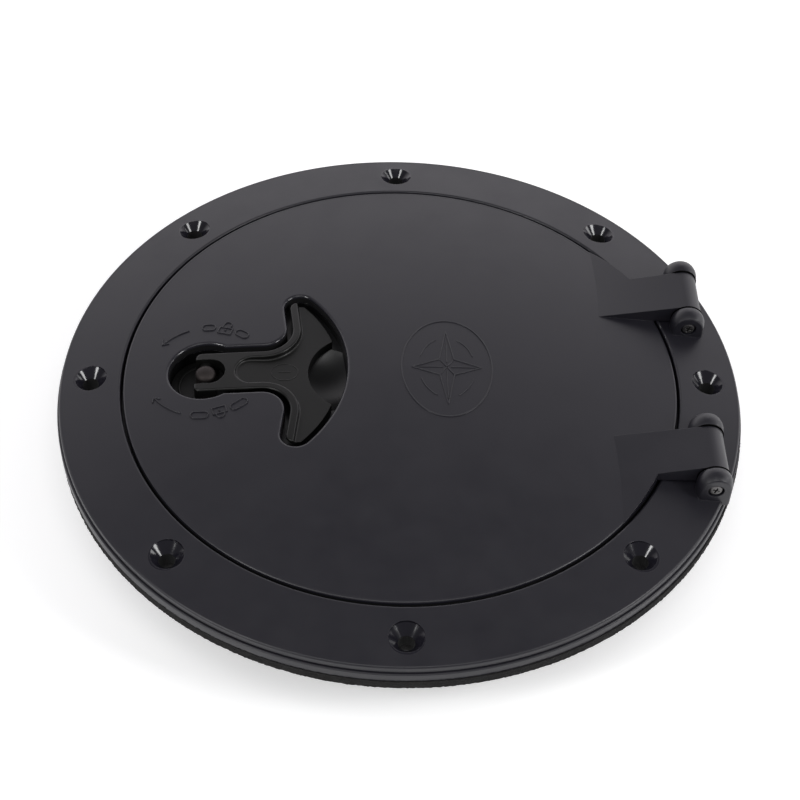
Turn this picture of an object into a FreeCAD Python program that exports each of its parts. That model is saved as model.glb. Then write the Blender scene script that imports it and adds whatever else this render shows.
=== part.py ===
# Round deck hatch: domed flush lid on two hinges, lift-and-turn T handle, foam deck gasket.
# Millimetres, +Z up. Origin: hatch axis on the underside of the flange; the gasket lies below it.
# The handle lies towards -X, the hinges towards +X.
import FreeCAD, Part
import math
import os

Vec = FreeCAD.Vector

# ---- overall -------------------------------------------------------------------------
bolt_circle_r = 130.0
crown_top = 18.3            # highest point of the lid above the flange's underside
crown_r = 923.0             # radius of the sphere that lid and flange share
flange_r = 142.5            # top edge of the flange
flange_nose = 1.0           # radius that rounds the top edge
band_r = 143.4              # thicker band round the foot of the flange
band_z = 3.9
band_round = 0.5
groove_top = 4.5            # shadow line between flange edge and band
groove_r = 141.9
gasket_t = 4.2
gasket_out_r = 143.6
gasket_in_r = 112.0
collar_in_r = 106.5
collar_out_r = 109.5
collar_bottom = -34.0
opening_r = 101.6           # clear opening, 8 inch across
ledge_z = 5.0
ledge_bottom = -1.5
recess_r = 116.9
gutter_in_r = 113.8
gutter_z = 4.0

# ---- mounting screws -----------------------------------------------------------------
screw_count = 8
screw_hole_r = 3.3
countersink_r = 7.0
countersink_depth = 4.0
gasket_hole_r = 3.3

# ---- lid -----------------------------------------------------------------------------
lid_r = 115.8
lid_t = 4.0
lid_rim_z = 7.0
edge_round = 1.0
seal_in_r = 109.0
seal_out_r = 113.0
seal_groove_z = 8.6
seal_lip_z = 5.3
skirt_in_r = 97.3
skirt_out_r = 99.8
skirt_z = 3.2
rib_t = 2.0
rib_ring_r = 62.0
rib_drop = 5.0
rib_count = 16

# ---- hinges --------------------------------------------------------------------------
hinge_x = 124.3
hinge_z = 13.6
hinge_y = 44.8
knuckle_w = 21.5
knuckle_r = 6.4
hinge_gap = 0.35
ear_r = 7.3
ear_inner = 3.1             # flat inner face, from the ear's own axis
ear_outer = 4.1             # flat outer face
ear_round = 0.8
ear_foot = 5.0
ramp_x = 86.0
ramp_far_y = 80.0
arm_under_z = 11.3
trough_r = 7.2
pin_r = 1.5                 # M3 screw
pin_hole_r = 1.65
bush_in_r = 1.56
bush_out_r = 2.6
bush_short = 0.1            # below the knuckle's faces
screw_head_r = 2.8
screw_head_h = 1.8
screw_head_round = 0.8
cross_slot_w = 0.64
cross_slot_d = 1.1
screw_tail = 0.3            # shank end inside the nut side's face
head_recess_r = 3.3
head_recess_d = 2.2
nut_flats = 5.5
nut_h = 3.0
nut_slack = 0.2
nut_pocket_d = 3.4

# ---- latch ---------------------------------------------------------------------------
spindle_x = -81.7
well_r = 15.3
well_floor = 2.3
tub_wall = 2.2
neck_floor = 6.0
head_floor = 9.0
head_floor_x = -56.2
recess_gap = 2.3
recess_tip_r = 6.5
crescent_r = 59.2           # outer wall of the recess, about the spindle
recess_round = 1.2
bowl_x = -33.2
bowl_z = 33.0
bowl_r = 30.0

handle_drop = 0.8           # top of the handle below the lid's surface
handle_round = 0.9
prong_round = 2.5
panel_foot_round = 0.9
panel_rim_round = 0.8
belly_end_x = -61.2
belly_flat = 4.5
neck_half = 10.6
neck_fillet = 12.0
neck_fillet_x = -57.8
arm_angle = 6.6             # degrees that the arms lean back towards the pivot
handle_tip_r = 3.4
handle_out_r = 55.7         # outer edge of the T, about the spindle
scallop_x = -17.95
scallop_r = 20.95
rim_w = 3.6
head_top = 13.6
head_bottom = 9.5
panel_end_x = -69.2
panel_half = neck_half - rim_w
fork_r = 6.8
fork_x = -80.2
pivot_z = 9.2
prong_r = 4.4
bevel_drop = 1.9            # the bevel on the handle's sides starts this far under the lid's surface
bevel_slope = 1.15          # inset per depth, so that the handle clears its recess in motion
tip_slope = 1.5
bevel_depth = 14.0

pivot_pin_r = 1.5
pivot_hole_r = 1.56
pivot_pin_half = 10.2
spacer_r = 2.8
spacer_gap = 0.1
spindle_head_r = 4.2
spindle_head_z = 13.4
spindle_dome_r = 6.0
spindle_r = 4.0
turntable_r = 14.9
turntable_bottom = 2.4
turntable_top = 4.3
oring_r = 10.0
oring_section = 0.6
oring_groove_half = 1.0
oring_groove_d = 1.3
bushing_r = 6.0
bushing_flange_r = 8.6
bushing_in_r = 4.06
bushing_bottom = -1.3
thread_r = 3.0
wave_top = -1.4
washer_top = -2.35
washer_t = 0.55
wave_out_r = 7.6
washer_out_r = 8.2
bolt_top = -3.0
bolt_t = 4.0
bolt_half = 7.0
bolt_reach = 23.3
bolt_hub_r = 9.0
bolt_nut_flats = 10.0
bolt_nut_h = 5.0
spindle_end = -13.0

strike_in_r = 102.2
strike_out_r = 106.2
strike_t = 1.0
strike_half_deg = 13.0
rivet_deg = 10.5
rivet_r = 1.2
rivet_fit = 0.05
rivet_head_r = 1.9
rivet_head_h = 0.9
rivet_deep = 4.0            # into the ledge

SIN_45 = math.sqrt(0.5)
TALL = 40.0                 # height that clears everything above the deck


# ---- helpers -------------------------------------------------------------------------
def crown_z(r, drop=0.0):
    """Height of the crown at radius r, or of a surface that lies drop under it."""
    return crown_top - crown_r + math.sqrt((crown_r - drop) ** 2 - r * r)


def crown_ball(drop):
    """Solid that holds everything under the crown, lowered by drop."""
    return Part.makeSphere(crown_r - drop, Vec(0, 0, crown_top - crown_r))


def polar(r, angle, z):
    a = math.radians(angle)
    return Vec(r * math.cos(a), r * math.sin(a), z)


def line(p, q):
    return Part.makeLine(p, q)


def arc(p, q, r):
    return Part.Arc(p, q, r).toShape()


def crown_arc(r_from, r_to, drop):
    """Meridian of the crown in the XZ plane."""
    mid = (r_from + r_to) / 2.0
    pts = [Vec(r, 0, crown_z(r, drop)) for r in (r_from, mid, r_to)]
    return arc(*pts)


def path(points):
    """Straight edges through the points, open."""
    return [line(p, q) for p, q in zip(points, points[1:])]


def face_of(edges):
    return Part.Face(Part.Wire(Part.__sortEdges__(edges)))


def revolve(edges):
    return face_of(edges).revolve(Vec(0, 0, 0), Vec(0, 0, 1), 360)


def ring(r_in, r_out, z_low, z_high, x=0.0):
    """Tube on a vertical axis."""
    outer = Part.makeCylinder(r_out, z_high - z_low, Vec(x, 0, z_low))
    return outer.cut(Part.makeCylinder(r_in, z_high - z_low, Vec(x, 0, z_low)))


def prism(edges, z_low, z_high):
    face = face_of(edges)
    face.translate(Vec(0, 0, z_low))
    return face.extrude(Vec(0, 0, z_high - z_low))


def box(x0, x1, y0, y1, z0, z1):
    return Part.makeBox(x1 - x0, y1 - y0, z1 - z0, Vec(x0, y0, z0))


def fuse(shapes):
    return shapes[0].fuse(shapes[1:]).removeSplitter()


def rod(r, y0, y1, x, z):
    """Round bar along Y."""
    return Part.makeCylinder(r, y1 - y0, Vec(x, y0, z), Vec(0, 1, 0))


def hexagon(flats, height, base, axis):
    """Hexagonal bar from base along axis."""
    corner = flats / math.sqrt(3)
    outline = Part.makePolygon([polar(corner, 60 * i, 0) for i in range(7)])
    solid = Part.Face(outline).extrude(Vec(0, 0, height))
    solid.Placement = FreeCAD.Placement(base, FreeCAD.Rotation(Vec(0, 0, 1), axis))
    return solid


def mirror_y(shape):
    return shape.mirror(Vec(0, 0, 0), Vec(0, 1, 0))


def crown_edges(shape, drop):
    """Edges of the shape that lie on the crown, lowered by drop."""
    centre = Vec(0, 0, crown_top - crown_r)

    def lies_on(edge):
        span = edge.LastParameter - edge.FirstParameter
        pts = [edge.valueAt(edge.FirstParameter + span * k / 4.0) for k in range(5)]
        return all(abs((p - centre).Length - crown_r + drop) < 0.002 for p in pts)

    return [edge for edge in shape.Edges if lies_on(edge)]


# ---- outline shared by the handle and its recess ---------------------------------------
def tip_centre(start, along, across, tip_r, outer_r):
    """Centre of the rounded arm tip: touches the arm's straight edge and the outer arc."""
    base = start + across * tip_r - Vec(spindle_x, 0, 0)
    half_b = base.dot(along)
    reach = outer_r - tip_r
    step = -half_b + math.sqrt(half_b ** 2 - base.dot(base) + reach ** 2)
    return start + across * tip_r + along * step


def tee_outline(gap, tip_r, outer_r, back_x):
    """T shape, grown by gap at the neck and the arms' inner edges. Closed at back_x."""
    lean = math.radians(arm_angle)
    along = Vec(-math.sin(lean), math.cos(lean), 0)
    across = Vec(math.cos(lean), math.sin(lean), 0)
    centre = Vec(neck_fillet_x, neck_half + neck_fillet, 0)
    r = neck_fillet - gap
    neck_end = centre + Vec(0, -r, 0)
    bend = centre + Vec(math.cos(math.radians(-42)), math.sin(math.radians(-42)), 0) * r
    arm_start = centre + across * r
    tip = tip_centre(arm_start, along, across, tip_r, outer_r)
    arm_end = tip - across * tip_r
    spindle = Vec(spindle_x, 0, 0)
    outward = (tip - spindle).normalize()
    tip_out = tip + outward * tip_r
    tip_top = tip + (outward - across).normalize() * tip_r
    upper = [line(Vec(back_x, neck_end.y, 0), neck_end), arc(neck_end, bend, arm_start),
             line(arm_start, arm_end), arc(arm_end, tip_top, tip_out)]
    lower = [mirror_y(edge) for edge in upper]
    outer = arc(tip_out, Vec(spindle_x + outer_r, 0, 0), Vec(tip_out.x, -tip_out.y, 0))
    back = line(Vec(back_x, -neck_end.y, 0), Vec(back_x, neck_end.y, 0))
    return upper + lower + [outer, back]


# ---- base ring -------------------------------------------------------------------------
def screw_angles():
    return [i * 360.0 / screw_count for i in range(screw_count)]


def ring_body():
    """Flange, ledge, lip and collar as one revolved section."""
    r = edge_round
    nose = flange_nose
    nose_z = crown_z(flange_r - nose)
    slant = nose * SIN_45
    corner = band_round * (1 - SIN_45)
    edges = [crown_arc(recess_r + r, flange_r - nose, 0.0)]
    edges.append(arc(Vec(flange_r - nose, 0, nose_z),
                     Vec(flange_r - nose + slant, 0, nose_z - nose + slant),
                     Vec(flange_r, 0, nose_z - nose)))
    edges += path([Vec(flange_r, 0, nose_z - nose), Vec(flange_r, 0, groove_top),
                   Vec(groove_r, 0, groove_top), Vec(groove_r, 0, band_z),
                   Vec(band_r - band_round, 0, band_z)])
    edges.append(arc(Vec(band_r - band_round, 0, band_z), Vec(band_r - corner, 0, band_z - corner),
                     Vec(band_r, 0, band_z - band_round)))
    edges += path([Vec(band_r, 0, band_z - band_round), Vec(band_r, 0, 0),
                   Vec(collar_out_r, 0, 0), Vec(collar_out_r, 0, collar_bottom),
                   Vec(collar_in_r, 0, collar_bottom), Vec(collar_in_r, 0, ledge_bottom),
                   Vec(opening_r, 0, ledge_bottom), Vec(opening_r, 0, ledge_z),
                   Vec(gutter_in_r, 0, ledge_z), Vec(gutter_in_r, 0, gutter_z),
                   Vec(recess_r, 0, gutter_z), Vec(recess_r, 0, crown_z(recess_r) - r)])
    edges.append(arc(Vec(recess_r, 0, crown_z(recess_r) - r),
                     Vec(recess_r + r * 0.29, 0, crown_z(recess_r) - r * 0.29),
                     Vec(recess_r + r, 0, crown_z(recess_r + r))))
    return revolve(edges)


def countersunk_hole(angle):
    top = crown_z(bolt_circle_r)
    deep = polar(bolt_circle_r, angle, top - countersink_depth)
    cone = Part.makeCone(screw_hole_r, countersink_r, countersink_depth, deep)
    mouth = Part.makeCylinder(countersink_r, 3.0, polar(bolt_circle_r, angle, top))
    shank = Part.makeCylinder(screw_hole_r, top, polar(bolt_circle_r, angle, 0))
    return cone.fuse([mouth, shank])


def ear(y_axis, outer_side):
    """Round post with a domed top, flat on both faces. outer_side is +1 or -1 along Y."""
    post = Part.makeCylinder(ear_r, hinge_z - ear_foot, Vec(hinge_x, y_axis, ear_foot))
    post = post.fuse(Part.makeSphere(ear_r, Vec(hinge_x, y_axis, hinge_z))).removeSplitter()
    outer_y = y_axis + outer_side * ear_outer
    faces = sorted([y_axis - outer_side * ear_inner, outer_y])
    post = post.common(box(hinge_x - 10, hinge_x + 10, faces[0], faces[1], ear_foot, TALL))
    rim = [e for e in post.Edges if e.BoundBox.YLength < 0.01 and abs(e.BoundBox.YMin - outer_y) < 0.01
           and e.BoundBox.ZMax > ear_foot + 1.0]
    return post.makeFillet(ear_round, rim)


def ear_axes(side):
    """Y of the inner-most and outer-most ear of one hinge, each with its outer direction."""
    centre = side * hinge_y
    reach = knuckle_w / 2.0 + hinge_gap + ear_inner
    return [(centre - reach, -1), (centre + reach, 1)]


def hinge_ends(side):
    """Y of the outer faces: screw head side (towards -Y), then nut side (towards +Y)."""
    axes = ear_axes(side)
    return axes[0][0] - ear_outer, axes[1][0] + ear_outer


def base_ring():
    body = ring_body()
    ears = [ear(y, out) for side in (-1, 1) for y, out in ear_axes(side)]
    body = body.fuse(ears)
    cutters = [countersunk_hole(a) for a in screw_angles()]
    cutters += [rivet_shank(angle, rivet_fit) for angle in (-rivet_deg, rivet_deg)]
    for side in (-1, 1):
        y_head, y_nut = hinge_ends(side)
        half = knuckle_w / 2.0 + hinge_gap
        pocket = Vec(hinge_x, y_nut - nut_pocket_d, hinge_z)
        cutters.append(rod(trough_r, side * hinge_y - half, side * hinge_y + half, hinge_x, hinge_z))
        cutters.append(rod(pin_hole_r, y_head - 1, y_nut + 1, hinge_x, hinge_z))
        cutters.append(rod(head_recess_r, y_head - 1, y_head + head_recess_d, hinge_x, hinge_z))
        cutters.append(hexagon(nut_flats + nut_slack, nut_pocket_d + 1, pocket, Vec(0, 1, 0)))
    return body.cut(cutters).removeSplitter()


def deck_gasket():
    body = ring(gasket_in_r, gasket_out_r, -gasket_t, 0.0)
    places = [polar(bolt_circle_r, angle, -gasket_t) for angle in screw_angles()]
    return body.cut([Part.makeCylinder(gasket_hole_r, gasket_t, at) for at in places])


# ---- strike ----------------------------------------------------------------------------
def rivet_place(angle):
    return polar((strike_in_r + strike_out_r) / 2.0, 180 + angle, ledge_bottom - strike_t)


def rivet_shank(angle, clearance):
    return Part.makeCylinder(rivet_r + clearance, strike_t + rivet_deep, rivet_place(angle))


def latch_strike():
    body = ring(strike_in_r, strike_out_r, ledge_bottom - strike_t, ledge_bottom)
    far = strike_out_r * 1.1
    half = math.tan(math.radians(strike_half_deg)) * far
    wedge = [Vec(0, 0, 0), Vec(-far, half, 0), Vec(-far, -half, 0), Vec(0, 0, 0)]
    body = body.common(prism(path(wedge), ledge_bottom - strike_t, ledge_bottom))
    return body.cut([rivet_shank(angle, rivet_fit) for angle in (-rivet_deg, rivet_deg)])


def strike_rivets():
    rivets = []
    for angle in (-rivet_deg, rivet_deg):
        at = rivet_place(angle)
        below = box(at.x - 3, at.x + 3, at.y - 3, at.y + 3, at.z - rivet_head_h, at.z)
        head = Part.makeSphere(rivet_head_r, at).common(below)
        rivets.append(rivet_shank(angle, 0.0).fuse(head).removeSplitter())
    return Part.makeCompound(rivets)


# ---- hinge hardware --------------------------------------------------------------------
def hinge_screw(side):
    """Pan head with a cross recess towards -Y, shank along +Y."""
    y_head, y_nut = hinge_ends(side)
    seat = y_head + head_recess_d
    face = seat - screw_head_h
    half = cross_slot_w / 2.0
    head = rod(screw_head_r, face, seat, hinge_x, hinge_z)
    rim = [e for e in head.Edges if e.BoundBox.YMax < face + 0.01]
    head = head.makeFillet(screw_head_round, rim)
    shank = rod(pin_r, seat, y_nut - screw_tail, hinge_x, hinge_z)
    slots = []
    for turn in (20, 110):
        slot = box(-pin_r, pin_r, face - 1, face + cross_slot_d, -half, half)
        slot.rotate(Vec(0, 0, 0), Vec(0, 1, 0), turn)
        slot.translate(Vec(hinge_x, 0, hinge_z))
        slots.append(slot)
    return head.fuse(shank).cut(slots).removeSplitter()


def hinge_nut(side):
    y_nut = hinge_ends(side)[1]
    base = Vec(hinge_x, y_nut - nut_pocket_d, hinge_z)
    body = hexagon(nut_flats, nut_h, base, Vec(0, 1, 0))
    return body.cut(rod(pin_r, base.y - 1, y_nut + 1, hinge_x, hinge_z))


def hinge_bush(side):
    half = knuckle_w / 2.0 - bush_short
    y0 = side * hinge_y - half
    y1 = side * hinge_y + half
    return rod(bush_out_r, y0, y1, hinge_x, hinge_z).cut(rod(bush_in_r, y0, y1, hinge_x, hinge_z))


# ---- lid -------------------------------------------------------------------------------
def lid_shell():
    """Domed plate with its rim, seal groove and locating skirt."""
    r = edge_round
    corner = r * (1 - SIN_45)
    edge_z = crown_z(lid_r - r)
    top = crown_arc(0.0, lid_r - r, 0.0)
    rounding = arc(Vec(lid_r - r, 0, edge_z), Vec(lid_r - corner, 0, edge_z - corner),
                   Vec(lid_r, 0, edge_z - r))
    inner_z = crown_z(skirt_in_r, lid_t)
    down = path([Vec(lid_r, 0, edge_z - r), Vec(lid_r, 0, lid_rim_z), Vec(seal_out_r, 0, lid_rim_z),
                 Vec(seal_out_r, 0, seal_groove_z), Vec(seal_in_r, 0, seal_groove_z),
                 Vec(seal_in_r, 0, lid_rim_z), Vec(skirt_out_r, 0, lid_rim_z),
                 Vec(skirt_out_r, 0, skirt_z), Vec(skirt_in_r, 0, skirt_z),
                 Vec(skirt_in_r, 0, inner_z)])
    under = crown_arc(skirt_in_r, 0.0, lid_t)
    axis = line(Vec(0, 0, crown_z(0, lid_t)), Vec(0, 0, crown_top))
    return revolve([top, rounding] + down + [under, axis])


def lid_ribs():
    """Ring and radial stiffeners under the plate."""
    overlap = 1.0
    slab = crown_ball(lid_t - overlap).cut(crown_ball(lid_t + rib_drop))
    ribs = [ring(rib_ring_r, rib_ring_r + rib_t, 0, TALL)]
    for i in range(rib_count):
        rib = box(rib_ring_r, skirt_in_r + 1, -rib_t / 2, rib_t / 2, 0, TALL)
        rib.rotate(Vec(0, 0, 0), Vec(0, 0, 1), (i + 0.5) * 360.0 / rib_count)
        ribs.append(rib)
    return fuse(ribs).common(slab)


def recess_plan(gap):
    return tee_outline(recess_gap + gap, recess_tip_r + gap, crescent_r + gap, head_floor_x - 6)


def recess_space(wall):
    """Space that handle and fingers use; with wall > 0, the tub around it."""
    top = TALL
    head = prism(recess_plan(wall), head_floor - wall, top)
    head = head.common(box(head_floor_x - wall, 0, -60, 60, -10, top))
    half = neck_half + recess_gap + wall
    neck = box(spindle_x, head_floor_x + wall, -half, half, neck_floor - wall, top)
    flare = prism(recess_plan(wall), neck_floor - wall, top)
    flare = flare.common(box(spindle_x, head_floor_x + wall, -60, 60, -10, top))
    well = Part.makeCylinder(well_r + wall, top, Vec(spindle_x, 0, well_floor - wall))
    bowl = Part.makeSphere(bowl_r + wall, Vec(bowl_x, 0, bowl_z))
    bowl = bowl.common(prism(recess_plan(wall), -10, head_floor + 1))
    return fuse([head, neck, flare, well, bowl])


def hinge_arm(side):
    """Wedge that climbs from the crown to the knuckle, with the knuckle at its end."""
    y_near = hinge_y - knuckle_w / 2.0
    y_far = hinge_y + knuckle_w / 2.0
    start_near = crown_z(math.hypot(ramp_x, y_near))
    start_far = crown_z(math.hypot(ramp_x, ramp_far_y))
    run = hinge_x - ramp_x
    climb = math.atan2(hinge_z - start_near + knuckle_r, run)
    end_x = hinge_x - knuckle_r * math.sin(climb)
    end_z = hinge_z + knuckle_r * math.cos(climb)
    under = arm_under_z - 1.0
    low = Part.makePolygon([Vec(ramp_x, y_near, under), Vec(ramp_x, y_near, start_near),
                            Vec(ramp_x, ramp_far_y, start_far), Vec(ramp_x, ramp_far_y, under),
                            Vec(ramp_x, y_near, under)])
    high = Part.makePolygon([Vec(end_x, y_near, under), Vec(end_x, y_near, end_z),
                             Vec(end_x, ramp_far_y, end_z), Vec(end_x, ramp_far_y, under),
                             Vec(end_x, y_near, under)])
    wedge = Part.makeLoft([low, high], True, True)
    over_lid = wedge.common(Part.makeCylinder(lid_r, TALL, Vec(0, 0, 0)))
    bridge = wedge.common(box(lid_r - 20, hinge_x, y_near, y_far, arm_under_z, TALL))
    web = box(end_x - 2, hinge_x, y_near, y_far, arm_under_z, hinge_z + 2)
    arm = fuse([over_lid, bridge, web, rod(knuckle_r, y_near, y_far, hinge_x, hinge_z)])
    arm = arm.cut(rod(bush_out_r, y_near, y_far, hinge_x, hinge_z))
    return arm if side > 0 else mirror_y(arm)


def lid_moulding():
    """Plate, ribs, tub and hinge arms in one."""
    under_skin = crown_ball(1.0)
    tub = recess_space(tub_wall).common(under_skin)
    body = fuse([lid_shell(), lid_ribs(), tub, hinge_arm(1), hinge_arm(-1)])
    body = body.cut([recess_space(0.0), Part.makeCylinder(bushing_r, TALL, Vec(spindle_x, 0, -20))])
    body = body.removeSplitter()
    lips = [e for e in crown_edges(body, 0.0)
            if e.BoundBox.XMax < bowl_x + 15 and e.BoundBox.XMin > -lid_r + 5]
    return body.makeFillet(recess_round, lips)


def tub_region():
    return recess_space(tub_wall).common(crown_ball(lid_t))


def lid_panel():
    return lid_moulding().cut(tub_region())


def recess_tub():
    """Walls and floor of the recess, welded to the underside of the plate."""
    return lid_moulding().common(tub_region())


def lid_seal():
    """Rubber ring, square in its groove, with a rounded lip."""
    mid = (seal_in_r + seal_out_r) / 2.0
    edges = path([Vec(seal_in_r, 0, lid_rim_z), Vec(seal_in_r, 0, seal_groove_z),
                  Vec(seal_out_r, 0, seal_groove_z), Vec(seal_out_r, 0, lid_rim_z)])
    edges.append(arc(Vec(seal_out_r, 0, lid_rim_z), Vec(mid, 0, seal_lip_z),
                     Vec(seal_in_r, 0, lid_rim_z)))
    return revolve(edges)


# ---- handle ----------------------------------------------------------------------------
def bevel_section(edge, inward, slope):
    """Section of a bevel cutter: starts just under the side's top edge and slopes in."""
    top = crown_z(math.hypot(edge.x, edge.y)) - bevel_drop
    low = top - bevel_depth
    out = edge - inward * 4.0
    deep = edge + inward * bevel_depth * slope
    corners = [(edge, top), (deep, low), (out, low), (out, top), (edge, top)]
    return Part.makePolygon([Vec(p.x, p.y, z) for p, z in corners])


def bevel_cutter(start, end, inward, slope):
    sections = [bevel_section(start, inward, slope), bevel_section(end, inward, slope)]
    return Part.makeLoft(sections, True, True)


def handle_bevels():
    """Cutters on the +Y side that let the handle turn out of its recess as it lifts."""
    lean = math.radians(arm_angle)
    along = Vec(-math.sin(lean), math.cos(lean), 0)
    across = Vec(math.cos(lean), math.sin(lean), 0)
    centre = Vec(neck_fillet_x, neck_half + neck_fillet, 0)
    arm_from = centre + across * neck_fillet
    tip = tip_centre(arm_from, along, across, handle_tip_r, handle_out_r)
    diagonal = Vec(-1, 1, 0).normalize()
    corner = tip + diagonal * handle_tip_r
    tangent = Vec(1, 1, 0).normalize() * 12.0
    end = tip + Vec(0, handle_tip_r, 0)
    neck_end = Vec(neck_fillet_x, neck_half, 0)
    neck = bevel_cutter(Vec(spindle_x + 5.0, neck_half, 0), neck_end, Vec(0, -1, 0), bevel_slope)
    arm = bevel_cutter(arm_from, arm_from + along * 22.0, across, bevel_slope)
    far = bevel_cutter(corner - tangent, corner + tangent, diagonal * -1, tip_slope)
    last = bevel_cutter(end - Vec(12, 0, 0), end + Vec(12, 0, 0), Vec(0, -1, 0), bevel_slope)
    low = crown_z(math.hypot(arm_from.x, neck_half)) - bevel_drop - bevel_depth
    wide = neck_fillet + bevel_depth * bevel_slope
    bend = Part.makeCone(wide, neck_fillet, bevel_depth, Vec(centre.x, centre.y, low))
    return [neck, bend, arm, far, last]


def handle_side():
    """Side view of the handle, as a bar across it: round under the pivot, thinner at the T."""
    back_x = spindle_x - prong_r
    low = pivot_z - prong_r
    slant = prong_r * SIN_45
    edges = [arc(Vec(back_x, 0, pivot_z), Vec(spindle_x - slant, 0, pivot_z - slant),
                 Vec(spindle_x, 0, low))]
    edges += path([Vec(spindle_x, 0, low), Vec(spindle_x + belly_flat, 0, low),
                   Vec(belly_end_x, 0, head_bottom), Vec(0, 0, head_bottom), Vec(0, 0, TALL),
                   Vec(back_x, 0, TALL), Vec(back_x, 0, pivot_z)])
    side = face_of(edges)
    side.translate(Vec(0, -60, 0))
    return side.extrude(Vec(0, 120, 0))


def panel_floor_edges(body):
    """Inner corner where the sunk panel's floor meets the raised rim."""
    flat = [e for e in body.Edges
            if abs(e.BoundBox.ZMin - head_top) < 0.01 and abs(e.BoundBox.ZMax - head_top) < 0.01]
    return [e for e in flat if e.BoundBox.XMax < neck_fillet_x + 16.5 and e.Length > handle_tip_r]


def panel_outline():
    """Outline of the sunk panel, without its round end near the pivot."""
    return tee_outline(-rim_w, 1.0, handle_out_r + 6, panel_end_x + panel_half)


def panel_rim_edges(body):
    """Top edge of the raised rim, straight above the outline of the sunk panel."""
    wall = Part.Wire(Part.__sortEdges__(panel_outline()))
    end = Part.makeCircle(panel_half, Vec(panel_end_x + panel_half, 0, 0))

    def stands_on(edge):
        mid = edge.valueAt((edge.FirstParameter + edge.LastParameter) / 2.0)
        foot = Part.Vertex(mid.x, mid.y, 0)
        return min(foot.distToShape(wall)[0], foot.distToShape(end)[0]) < 0.05

    return [e for e in crown_edges(body, handle_drop) if stands_on(e)]


def latch_handle():
    back_x = spindle_x - prong_r
    plan = tee_outline(0.0, handle_tip_r, handle_out_r, back_x)
    body = prism(plan, 0.0, TALL).common([crown_ball(handle_drop)])
    corners = [e for e in body.Edges if abs(e.BoundBox.XMax - back_x) < 0.01 and e.BoundBox.ZLength > 5]
    body = body.makeFillet(prong_round, corners)
    body = body.makeFillet(handle_round, crown_edges(body, handle_drop))
    body = body.common([handle_side()])
    fork = fuse([Part.makeCylinder(fork_r, TALL, Vec(fork_x, 0, 0)),
                 box(-100, fork_x, -fork_r, fork_r, 0, TALL)])
    panel = prism(panel_outline(), head_top, TALL)
    panel_end = Part.makeCylinder(panel_half, TALL, Vec(panel_end_x + panel_half, 0, head_top))
    scallop = Part.makeCylinder(scallop_r, TALL, Vec(scallop_x, 0, 0))
    bevels = handle_bevels()
    body = body.cut([fork, panel, panel_end, scallop] + bevels + [mirror_y(b) for b in bevels])
    body = body.cut(rod(pivot_hole_r, -20, 20, spindle_x, pivot_z)).removeSplitter()
    body = body.makeFillet(panel_foot_round, panel_floor_edges(body))
    return body.makeFillet(panel_rim_round, panel_rim_edges(body))


# ---- rotor -----------------------------------------------------------------------------
def latch_spindle():
    foot = Vec(spindle_x, 0, turntable_top)
    dome = Part.makeSphere(spindle_dome_r, Vec(spindle_x, 0, spindle_head_z - spindle_dome_r))
    head = Part.makeCylinder(spindle_head_r, spindle_head_z - turntable_top, foot)
    head = head.common(fuse([dome, Part.makeCylinder(spindle_head_r, 5.0, foot)]))
    shaft_end = bolt_top - bolt_t
    shaft = Part.makeCylinder(spindle_r, turntable_top - shaft_end, Vec(spindle_x, 0, shaft_end))
    thread = Part.makeCylinder(thread_r, shaft_end - spindle_end, Vec(spindle_x, 0, spindle_end))
    return fuse([head, shaft, thread]).cut(rod(pivot_pin_r, -9, 9, spindle_x, pivot_z))


def handle_pivot_pin():
    return rod(pivot_pin_r, -pivot_pin_half, pivot_pin_half, spindle_x, pivot_z)


def pivot_spacers():
    near = spindle_head_r + spacer_gap
    far = fork_r - spacer_gap
    spacers = []
    for side in (-1, 1):
        y0, y1 = sorted([side * near, side * far])
        tube = rod(spacer_r, y0, y1, spindle_x, pivot_z)
        spacers.append(tube.cut(rod(pivot_pin_r, y0 - 1, y1 + 1, spindle_x, pivot_z)))
    return Part.makeCompound(spacers)


def oring_groove():
    return ring(oring_r - oring_groove_half, oring_r + oring_groove_half, turntable_bottom,
                turntable_bottom + oring_groove_d, spindle_x)


def latch_turntable():
    disc = ring(spindle_r, turntable_r, turntable_bottom, turntable_top, spindle_x)
    return disc.cut(oring_groove())


def turntable_seal():
    torus = Part.makeTorus(oring_r, oring_section)
    torus.translate(Vec(spindle_x, 0, turntable_bottom + oring_section - 0.05))
    return torus


def spindle_bushing():
    flange = ring(bushing_in_r, bushing_flange_r, bushing_bottom, well_floor - tub_wall, spindle_x)
    return fuse([flange, ring(bushing_in_r, bushing_r, bushing_bottom, well_floor, spindle_x)])


def wave_washer():
    return ring(spindle_r + 0.2, wave_out_r, washer_top, wave_top, spindle_x)


def bolt_washer():
    return ring(spindle_r + 0.05, washer_out_r, washer_top - washer_t, washer_top, spindle_x)


def latch_bolt():
    """Tongue with a hub; its end is an arc about the spindle and its top is eased at the tip."""
    z_low = bolt_top - bolt_t
    arm = box(spindle_x - bolt_reach, spindle_x, -bolt_half, bolt_half, z_low, bolt_top)
    arm = arm.common(Part.makeCylinder(bolt_reach, bolt_t, Vec(spindle_x, 0, z_low)))
    hub = Part.makeCylinder(bolt_hub_r, bolt_t, Vec(spindle_x, 0, z_low))
    body = fuse([arm, hub])
    return body.cut(Part.makeCylinder(spindle_r, bolt_t, Vec(spindle_x, 0, z_low)))


def bolt_nut():
    top = bolt_top - bolt_t
    body = hexagon(bolt_nut_flats, bolt_nut_h, Vec(spindle_x, 0, top - bolt_nut_h), Vec(0, 0, 1))
    return body.cut(Part.makeCylinder(thread_r, bolt_nut_h, Vec(spindle_x, 0, top - bolt_nut_h)))


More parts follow.
